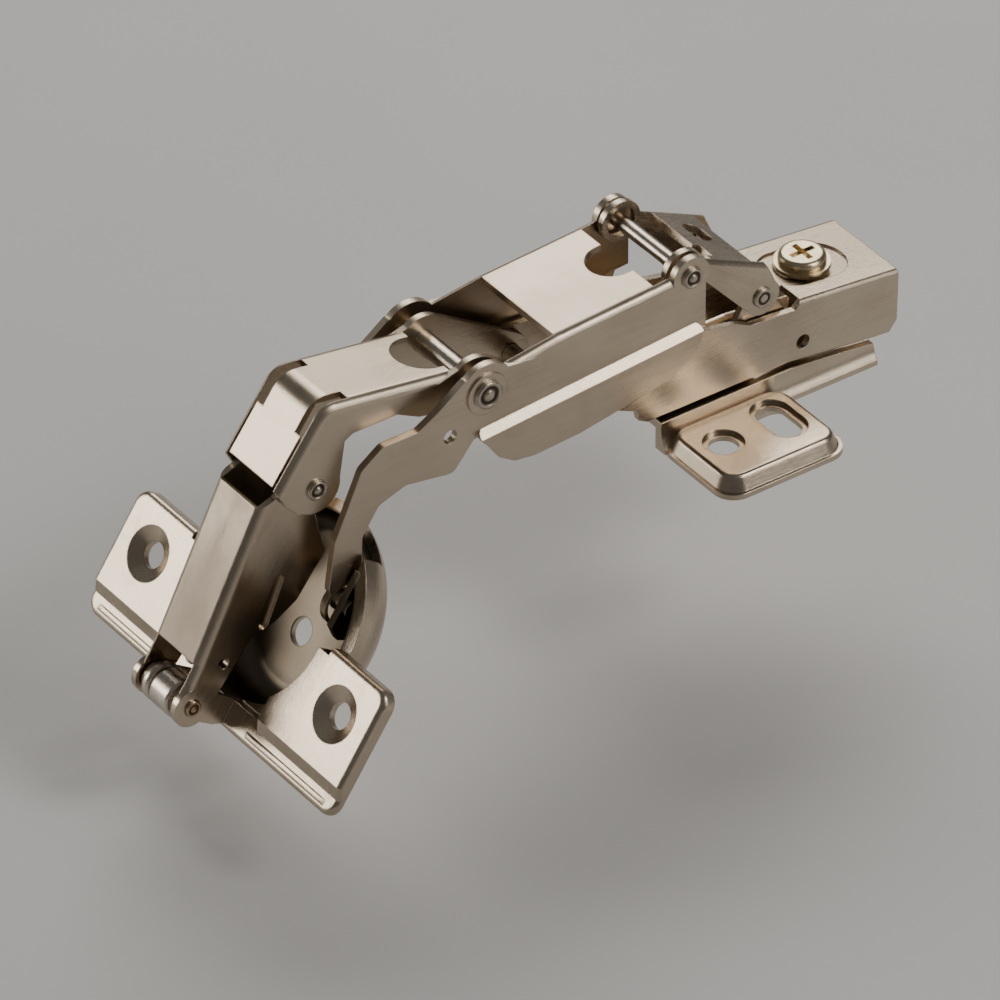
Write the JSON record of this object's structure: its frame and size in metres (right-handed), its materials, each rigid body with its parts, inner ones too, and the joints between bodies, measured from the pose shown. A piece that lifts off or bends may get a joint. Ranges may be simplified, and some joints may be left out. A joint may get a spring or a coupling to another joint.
{
  "type": "cabinet hinge",
  "caption": "Wide-angle concealed cabinet hinge: pressed cup, scissor linkage of folded levers, hinge arm with depth slot, screw-on mounting plate, sleeved closing spring and soft-close damper.",
  "frame": {"origin": "on the cabinet panel under the mounting plate, at the centre of its screw holes", "axes": "+Z out of the panel, +X towards the door, pivot pins along Y"},
  "size_m": [0.1296, 0.0636, 0.0566],
  "materials": {
    "nickel": "satin nickel plate on pressed steel",
    "bright_nickel": "bright nickel plate on steel pins",
    "yellow_zinc": "yellow passivated zinc on screws",
    "spring": "drawn sleeve, nickel plated",
    "damper_plastic": "moulded damper body"
  },
  "bodies": {
    "plate": {"mounting_plate": "nickel"},
    "arm": {"hinge_arm": "nickel", "arm_link_pin": "bright_nickel", "arm_lever_pin": "bright_nickel"},
    "top_link": {"top_link": "nickel"},
    "inner_lever": {"inner_lever": "nickel", "scissor_pin": "bright_nickel", "front_link_pin": "bright_nickel"},
    "outer_lever": {"outer_lever": "nickel", "top_link_pin": "bright_nickel"},
    "front_link": {"front_link": "nickel", "damper_cylinder": "damper_plastic", "damper_rod": "bright_nickel"},
    "cup": {"hinge_cup": "nickel", "cup_front_pin": "bright_nickel", "cup_rear_pins": "bright_nickel", "spring_sleeve": "spring"},
    "fixing_screw": {"fixing_screw": "yellow_zinc", "fixing_washer": "yellow_zinc"},
    "overlay_screw": {"overlay_screw": "yellow_zinc"}
  },
  "joints": [
    {"name": "depth_slide", "type": "slide", "parent": "plate", "child": "arm", "axis": [1, 0, 0], "range_m": [-0.002, 0.002]},
    {"name": "lever_swing", "type": "hinge", "parent": "arm", "child": "inner_lever", "pos_m": [0.0282, 0, 0.0164], "axis": [0, 1, 0], "range_deg": [-130.8, 17]},
    {"name": "top_link_swing", "type": "hinge", "parent": "arm", "child": "top_link", "pos_m": [-0.0075, 0, 0.0198], "axis": [0, 1, 0], "range_deg": [-131.5, 17.5]},
    {"name": "outer_lever_swing", "type": "hinge", "parent": "inner_lever", "child": "outer_lever", "pos_m": [0.044, 0, 0.025], "axis": [0, 1, 0], "range_deg": [-16.5, 123.8]},
    {"name": "front_link_swing", "type": "hinge", "parent": "inner_lever", "child": "front_link", "pos_m": [0.072, 0, 0.01775], "axis": [0, 1, 0], "range_deg": [-15.6, 117.2]},
    {"name": "cup_swing", "type": "hinge", "parent": "front_link", "child": "cup", "pos_m": [0.09336, 0, -0.01338], "axis": [0, 1, 0], "range_deg": [-132.4, 17.6]},
    {"name": "fixing_screw_turn", "type": "hinge", "parent": "plate", "child": "fixing_screw", "pos_m": [-0.0212, 0, 0.01], "axis": [0, 0, 1], "continuous": true},
    {"name": "overlay_screw_turn", "type": "hinge", "parent": "arm", "child": "overlay_screw", "pos_m": [0.001, 0, 0.007], "axis": [0, 0, 1], "continuous": true}
  ],
  "couplings": [
    {"joint": "top_link_swing", "follows": "lever_swing", "ratio": 1.0011},
    {"joint": "outer_lever_swing", "follows": "lever_swing", "ratio": -0.942},
    {"joint": "front_link_swing", "follows": "lever_swing", "ratio": -0.8917},
    {"joint": "cup_swing", "follows": "lever_swing", "ratio": 1.0078}
  ]
}
